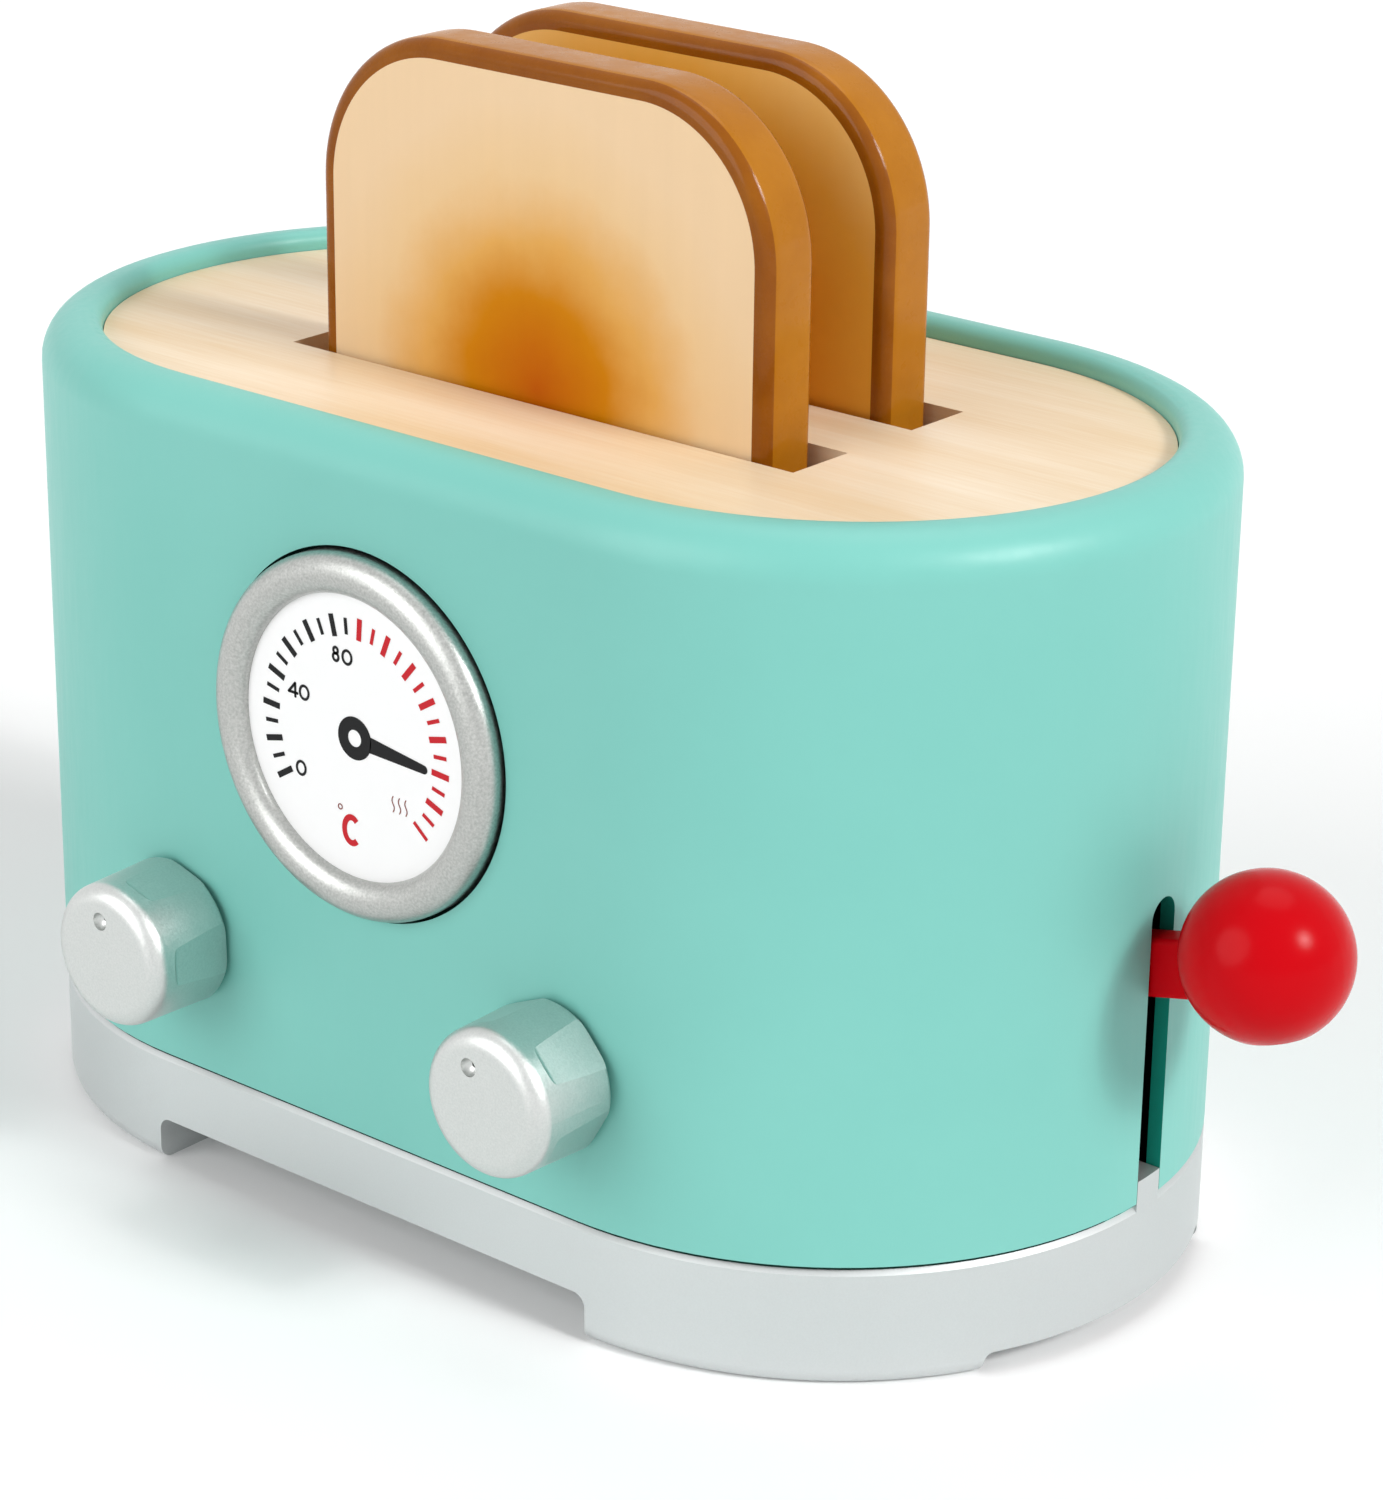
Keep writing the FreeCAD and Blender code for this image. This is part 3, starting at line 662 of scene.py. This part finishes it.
def casing_part(point, normal):
    """Which paint a face takes: 0 mint, 1 near-black painted shade inside, 2 dark teal painted shade round
    the ring and along the seam, 3 deep teal painted shade on the sides of the slot.
    """
    inset = outline_inset(point) / MM
    off_dial = math.hypot((point.x - body_middle.x) / MM - dial_middle[0], point.z / MM - dial_middle[1])
    in_slot = (point.x > body_high.x - INSIDE_INSET * MM and point.z < (SLOT_RELIEF_TOP + SKIN) * MM
               and abs(point.y - body_middle.y) < (SLOT_RELIEF_HALF + SKIN) * MM)
    # Near-black painted shade on faces deep inside the casing.
    if inset > INSIDE_INSET:
        return 1
    # Deep teal painted shade on the slot's sides, near-black painted shade further in.
    if in_slot and SKIN < inset:
        return 3 if inset < SLOT_WALL - SKIN else 1
    # Dark teal painted shade in the ring's recess and on the downward faces of the seam above the base.
    if point.y < body_middle.y and inset > SKIN / 2 and off_dial < RECESS_RADIUS + SKIN:
        return 2
    if point.z < body_low.z + SEAM_SHADE_HEIGHT * MM and normal.z < LOOKS_DOWN:
        return 2
    return 0


def copy_node(node, name):
    """A piece of its own with the mesh of a node of the frame."""
    piece = bpy.data.objects.new(name, nodes[node].data.copy())
    piece.matrix_world = nodes[node].matrix_world
    bpy.context.scene.collection.objects.link(piece)
    return piece


def make_casing(mint, inside, painted_gap_shade, painted_slot_shade):
    """The frame's casing with the recess and the relief cut in, with painted shade inside, round the ring,
    along the seam and on the slot's sides.
    """
    piece = copy_node("casing", "casing_shell")
    carve(piece, casing_cutters())
    piece.data.materials.clear()
    for material in (mint, inside, painted_gap_shade, painted_slot_shade):
        piece.data.materials.append(material)
    for polygon in piece.data.polygons:
        polygon.material_index = casing_part(piece.matrix_world @ polygon.center, polygon.normal)
    shade(piece, SHARP_CAD_EDGE)
    even = piece.modifiers.new("even", "WEIGHTED_NORMAL")
    even.keep_sharp = True
    even.weight = 100
    apply_modifiers(piece)
    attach(piece, "root")
    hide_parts("casing")


# Return springs

def make_springs(steel):
    """A copy of the frame's springs, in steel, that rides on the root."""
    piece = copy_node("return_springs", "springs")
    piece.data.materials.clear()
    piece.data.materials.append(steel)
    shade(piece, SHARP_EDGE)
    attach(piece, "root")
    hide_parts("return_springs")
    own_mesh(piece)


# Dial ring, seated in the recess

RING_OUTER = 23.55
RING_CROWN = 20.9
RING_CROWN_DEPTH = 3.0
RING_INNER = 18.4
RING_SHOULDER = 0.7
RING_INNER_DEPTH = 1.15
RING_STEPS = 200
SECTION_STEPS = 14


def make_ring(silver):
    """A ring with a rounded section that stands on the floor of the recess."""
    front = -half_width / MM
    profile = [(RING_OUTER, front + RECESS_DEPTH - PRINT_LIFT)]
    for across, out in arc((0, 0), 1.0, 0, 90, SECTION_STEPS):
        profile.append((RING_CROWN + (RING_OUTER - RING_CROWN) * across,
                        front - RING_SHOULDER - (RING_CROWN_DEPTH - RING_SHOULDER) * out))
    for across, out in arc((0, 0), 1.0, 90, 180, SECTION_STEPS)[1:]:
        profile.append((RING_CROWN + (RING_CROWN - RING_INNER) * across,
                        front - RING_INNER_DEPTH - (RING_CROWN_DEPTH - RING_INNER_DEPTH) * out))
    profile.append((RING_INNER, front + RECESS_DEPTH - PRINT_LIFT))
    points, faces = loft(turned(profile, dial_middle, RING_STEPS), closed=True)
    piece = new_piece("dial_ring", points, faces, [silver])
    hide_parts("dial_bezel")


# Dial print

PRINT_LIFT = 0.05
PRINT_THICKNESS = 0.03
print_y = (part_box("dial_disc")[0].y - body_middle.y) / MM - PRINT_LIFT
TICK_RADIUS = 14.3
MAJOR_LENGTH = 2.85
MINOR_LENGTH = 2.1
MAJOR_WIDTH = 0.8
MINOR_WIDTH = 0.52
FIRST_TICK = 211.9
TICK_STEP = 9.01
TICK_COUNT = 29
BLACK_TICKS = 14
NEEDLE_ANGLE = -5.3
NEEDLE_REACH = 12.2
NEEDLE_ROOT_WIDTH = 2.1
NEEDLE_TIP_WIDTH = 1.15
HUB_RADIUS = 2.8
HUB_HOLE_RADIUS = 1.1


def dial_point(x, z):
    """A point of the dial's face, x millimetres right of its middle and z above it."""
    return (dial_middle[0] + x, print_y, dial_middle[1] + z)


ROUND_END_STEPS = 6
FLAT_END_STEPS = 1
TIP_STEPS = 10
HOOP_STEPS = 40


def plate(outline_points):
    """A thin printed shape on the dial's face, from its outline."""
    count = len(outline_points)
    front = [dial_point(x, z) for x, z in outline_points]
    back = [(x, y + PRINT_THICKNESS, z) for x, y, z in front]
    faces = [tuple(range(count)), tuple(range(2 * count - 1, count - 1, -1))]
    for step in range(count):
        after = (step + 1) % count
        faces.append((step, step + count, after + count, after))
    return front + back, faces


def ribbon(path, width, steps=ROUND_END_STEPS):
    """The outline of a stroke of that width along an open path, with round ends, or flat ones at 1 step."""
    half = width / 2
    left = []
    right = []
    for index, (x, z) in enumerate(path):
        before = path[max(index - 1, 0)]
        after = path[min(index + 1, len(path) - 1)]
        angle = math.atan2(after[1] - before[1], after[0] - before[0])
        left.append((x - half * math.sin(angle), z + half * math.cos(angle)))
        right.append((x + half * math.sin(angle), z - half * math.cos(angle)))
    start = math.degrees(math.atan2(path[1][1] - path[0][1], path[1][0] - path[0][0]))
    end = math.degrees(math.atan2(path[-1][1] - path[-2][1], path[-1][0] - path[-2][0]))
    tip = arc(path[-1], half, end + 90, end - 90, steps)[1:-1]
    tail = arc(path[0], half, start - 90, start - 270, steps)[1:-1]
    return left + tip + right[::-1] + tail


def hoop(centre, across, high, width):
    """The points and faces of a printed ring, oval if across and high differ."""
    rings = []
    for grow in (width / 2, -width / 2):
        ring = []
        for step in range(HOOP_STEPS):
            angle = 2 * math.pi * step / HOOP_STEPS
            ring.append((centre[0] + (across + grow) * math.cos(angle),
                         centre[1] + (high + grow) * math.sin(angle)))
        rings.append(ring)
    outer, inner = ([dial_point(x, z) for x, z in ring] for ring in rings)
    back = [[(x, y + PRINT_THICKNESS, z) for x, y, z in ring] for ring in (outer, inner)]
    return loft([outer, inner, back[1], back[0]], closed=True)


def join(parts):
    """Several (points, faces) as one."""
    points = []
    faces = []
    for more_points, more_faces in parts:
        base = len(points)
        points += more_points
        faces += [tuple(base + corner for corner in face) for face in more_faces]
    return points, faces


def tick(number):
    angle = math.radians(FIRST_TICK - number * TICK_STEP)
    major = number % 2 == 0
    length = MAJOR_LENGTH if major else MINOR_LENGTH
    width = MAJOR_WIDTH if major and number < TICK_COUNT - 1 else MINOR_WIDTH
    ends = []
    for reach in (TICK_RADIUS - length / 2, TICK_RADIUS + length / 2):
        ends.append((reach * math.cos(angle), reach * math.sin(angle)))
    return plate(ribbon(ends, width, FLAT_END_STEPS))


DIGIT_HIGH = 0.87
DIGIT_ACROSS = 0.75
DIGIT_LINE = 0.36
DIGIT_PITCH = 1.92
ZERO_PLACE = (-9.32, -6.31)
FORTY_PLACE = (-9.49, 3.82)
EIGHTY_PLACE = (-2.03, 10.24)
# Shares of the digit's size.
EIGHT_TOP = 0.46
EIGHT_FOOT = 0.56
EIGHT_TOP_WIDTH = 0.92
EIGHT_FOOT_WIDTH = 0.95
FOUR_STEM = 0.5
FOUR_BAR = 0.45


def digit_zero(x, z):
    return [hoop((x, z), DIGIT_ACROSS, DIGIT_HIGH, DIGIT_LINE)]


def digit_eight(x, z):
    small = DIGIT_HIGH * EIGHT_TOP
    large = DIGIT_HIGH * EIGHT_FOOT
    return [
        hoop((x, z + DIGIT_HIGH - small), small * EIGHT_TOP_WIDTH, small, DIGIT_LINE),
        hoop((x, z - DIGIT_HIGH + large), large * EIGHT_FOOT_WIDTH, large, DIGIT_LINE),
    ]


def digit_four(x, z):
    stem = x + DIGIT_ACROSS * FOUR_STEM
    bar = z - DIGIT_HIGH * FOUR_BAR
    top = (stem, z + DIGIT_HIGH)
    left = (x - DIGIT_ACROSS, bar)
    right = (x + DIGIT_ACROSS, bar)
    return [
        plate(ribbon([top, left], DIGIT_LINE)),
        plate(ribbon([left, right], DIGIT_LINE)),
        plate(ribbon([top, (stem, z - DIGIT_HIGH)], DIGIT_LINE)),
    ]


def number_of_two(first_digit, place):
    """A digit and a zero beside it, about a place."""
    x, z = place
    return first_digit(x - DIGIT_PITCH / 2, z) + digit_zero(x + DIGIT_PITCH / 2, z)


def needle():
    """A tapered pointer from a round hub with a white middle."""
    angle = math.radians(NEEDLE_ANGLE)
    root = HUB_RADIUS * math.cos(math.asin(NEEDLE_ROOT_WIDTH / 2 / HUB_RADIUS))
    hub_line = (HUB_RADIUS + HUB_HOLE_RADIUS) / 2
    root_half = NEEDLE_ROOT_WIDTH / 2
    tip_half = NEEDLE_TIP_WIDTH / 2
    tip = NEEDLE_REACH - tip_half
    outline_points = [(root, root_half), (tip, tip_half)]
    outline_points += arc((tip, 0), tip_half, 90, -90, TIP_STEPS)[1:-1]
    outline_points += [(tip, -tip_half), (root, -root_half)]
    cosine = math.cos(angle)
    sine = math.sin(angle)
    turned_points = [(x * cosine - z * sine, x * sine + z * cosine) for x, z in outline_points]
    return [plate(turned_points), hoop((0, 0), hub_line, hub_line, HUB_RADIUS - HUB_HOLE_RADIUS)]


LETTER_PLACE = (-0.75, -12.3)
LETTER_ACROSS = 1.25
LETTER_HIGH = 1.7
LETTER_LINE = 0.8
LETTER_OPENING = 48
LETTER_STEPS = 32
DEGREE_PLACE = (-2.66, -9.65)
DEGREE_RADIUS = 0.33
PRINT_HAIRLINE = 0.15
WAVES_PLACE = (7.43, -6.93)
WAVE_PITCH = 1.07
WAVE_HEIGHT = 2.0
WAVE_SWING = 0.18
WAVE_STEPS = 20


def letter_c():
    path = []
    for across, high in arc((0, 0), 1.0, LETTER_OPENING, 360 - LETTER_OPENING, LETTER_STEPS):
        path.append((LETTER_PLACE[0] + LETTER_ACROSS * across, LETTER_PLACE[1] + LETTER_HIGH * high))
    return [plate(ribbon(path, LETTER_LINE, FLAT_END_STEPS))]


def degree_ring():
    return [hoop(DEGREE_PLACE, DEGREE_RADIUS, DEGREE_RADIUS, PRINT_HAIRLINE)]


def heat_waves():
    waves = []
    for place in (-1, 0, 1):
        path = []
        for step in range(WAVE_STEPS + 1):
            share = step / WAVE_STEPS
            sway = WAVE_SWING * math.sin(2 * math.pi * share)
            path.append((WAVES_PLACE[0] + place * WAVE_PITCH - sway,
                         WAVES_PLACE[1] + WAVE_HEIGHT * (0.5 - share)))
        waves.append(plate(ribbon(path, PRINT_HAIRLINE)))
    return waves


def make_dial_print(black, red, dull_red):
    blacks = [tick(number) for number in range(BLACK_TICKS)]
    blacks += digit_zero(*ZERO_PLACE)
    blacks += number_of_two(digit_four, FORTY_PLACE)
    blacks += number_of_two(digit_eight, EIGHTY_PLACE)
    blacks += needle()
    reds = [tick(number) for number in range(BLACK_TICKS, TICK_COUNT)] + letter_c()
    dulls = heat_waves() + degree_ring()
    prints = (
        ("dial_print_black", blacks, black),
        ("dial_print_red", reds, red),
        ("dial_print_dull_red", dulls, dull_red),
    )
    for name, parts, material in prints:
        points, faces = join(parts)
        piece = new_piece(name, points, faces, [material])


# Dressing of the frame's own pieces

def finish_nodes(finishes):
    for node, material in finishes.items():
        piece = nodes[node]
        piece.data.materials.clear()
        piece.data.materials.append(material)
        shade(piece, SHARP_CAD_EDGE)


def hidden_finishes():
    """Materials of the pieces inside the casing; the rest of the hidden pieces are steel."""
    nylon = plain_finish("nylon", srgb(226, 225, 220), roughness=0.5)
    felt = plain_finish("felt", srgb(70, 70, 70), roughness=0.9, grain=1500.0, depth=0.0002)
    rubber = plain_finish("rubber", srgb(35, 35, 35), roughness=0.7)
    plywood = natural_wood("plywood", srgb(222, 196, 158), srgb(196, 164, 122))
    return {
        "front_guide_board": plywood,
        "rear_guide_board": plywood,
        "lift_carriage": nylon,
        "carriage_bushes": nylon,
        "carriage_bumpers": rubber,
        "left_knob_felt": felt,
        "right_knob_felt": felt,
    }


def silver_finishes():
    """The silver paints of the base, the knobs and the dial's ring, in that order."""
    base = silver_paint("silver_base", srgb(208, 212, 212), srgb(202, 206, 206),
                        grain=4200.0, depth=0.00001, roughness=0.5, metallic=0.85)
    knob = silver_paint("silver_knob", srgb(213, 215, 213), srgb(200, 203, 201),
                        grain=3600.0, depth=0.00003, roughness=0.36, metallic=1.0)
    ring = silver_paint("silver_ring", srgb(196, 197, 194), srgb(166, 168, 165),
                        grain=3000.0, depth=0.00006, roughness=0.34, metallic=1.0)
    return base, knob, ring


# How far a face must turn front or back to take the band's brown: a printed border darkened with painted
# shade.
BORDER_AND_SHADE_FACING = 0.35
QUAD_CORNERS = 4


def paint_slice(piece):
    """Face for the two caps; of the others, band where a face turns front or back, edge elsewhere. The band
    is darker partly as a printed border and partly as painted shade.
    """
    for polygon in piece.data.polygons:
        if len(polygon.vertices) > QUAD_CORNERS:
            polygon.material_index = 0
        elif abs(polygon.normal.y) > BORDER_AND_SHADE_FACING:
            polygon.material_index = 2
        else:
            polygon.material_index = 1


def dress_slices():
    light_face = toasted_face("light_toast", LIGHT_TOAST_RADIUS, LIGHT_TOAST)
    # Rear slice: printed toast with painted shade and painted bounce light from the front slice.
    rear_face_and_shade = toasted_face("rear_toast_and_shade", REAR_TOAST_AND_SHADE_RADIUS, REAR_TOAST_AND_SHADE)
    edge = crust_paint("crust_edge", srgb(186, 120, 26), srgb(172, 106, 14), roughness=0.3)
    # The band: the crust's printed border, made darker with painted shade on faces turned front or back.
    band = crust_paint("crust_border_and_shade", srgb(158, 92, 10), srgb(136, 72, 4), roughness=0.24)
    paint_slice(make_slice("front_toast", "front_slice", light_face, edge, band))
    paint_slice(make_slice("rear_toast", "rear_slice", rear_face_and_shade, edge, band))


def dress():
    steel = plain_finish("steel", srgb(176, 176, 178), roughness=0.32, metallic=1.0)
    finishes = hidden_finishes()
    base_silver, knob_silver, ring_silver = silver_finishes()
    make_casing(
        mint_paint(),
        # Near-black painted shade for the inside of the casing.
        flat_colour("inside", srgb(10, 9, 8), roughness=0.8, specular=0.05),
        # Dark teal painted shade for the ring's recess and the seam above the base.
        flat_colour("painted_gap_shade", srgb(10, 44, 38), roughness=0.8, specular=0.05),
        # Deep teal painted shade for the sides of the lever's slot.
        flat_colour("painted_slot_shade", srgb(34, 166, 146), roughness=0.6, specular=0.05),
    )
    make_ring(ring_silver)
    make_springs(steel)
    finishes.update({
        "base_plinth": base_silver,
        "top_panel": natural_wood("natural_wood", srgb(246, 228, 201), srgb(233, 205, 165)),
        "dial_disc": flat_colour("dial_white", srgb(253, 253, 253)),
        "left_knob": knob_silver,
        "right_knob": knob_silver,
        "lever_handle": red_plastic(),
    })
    for node in nodes:
        finishes.setdefault(node, steel)
    finish_nodes(finishes)
    dress_slices()
    make_dial_print(
        flat_colour("print_black", srgb(16, 16, 18)),
        flat_colour("print_red", srgb(200, 28, 40)),
        flat_colour("print_dull_red", srgb(130, 60, 50)),
    )


dress()
make_camera()
make_lights()
make_world()
make_floor()
bpy.context.scene.view_settings.view_transform = "Standard"
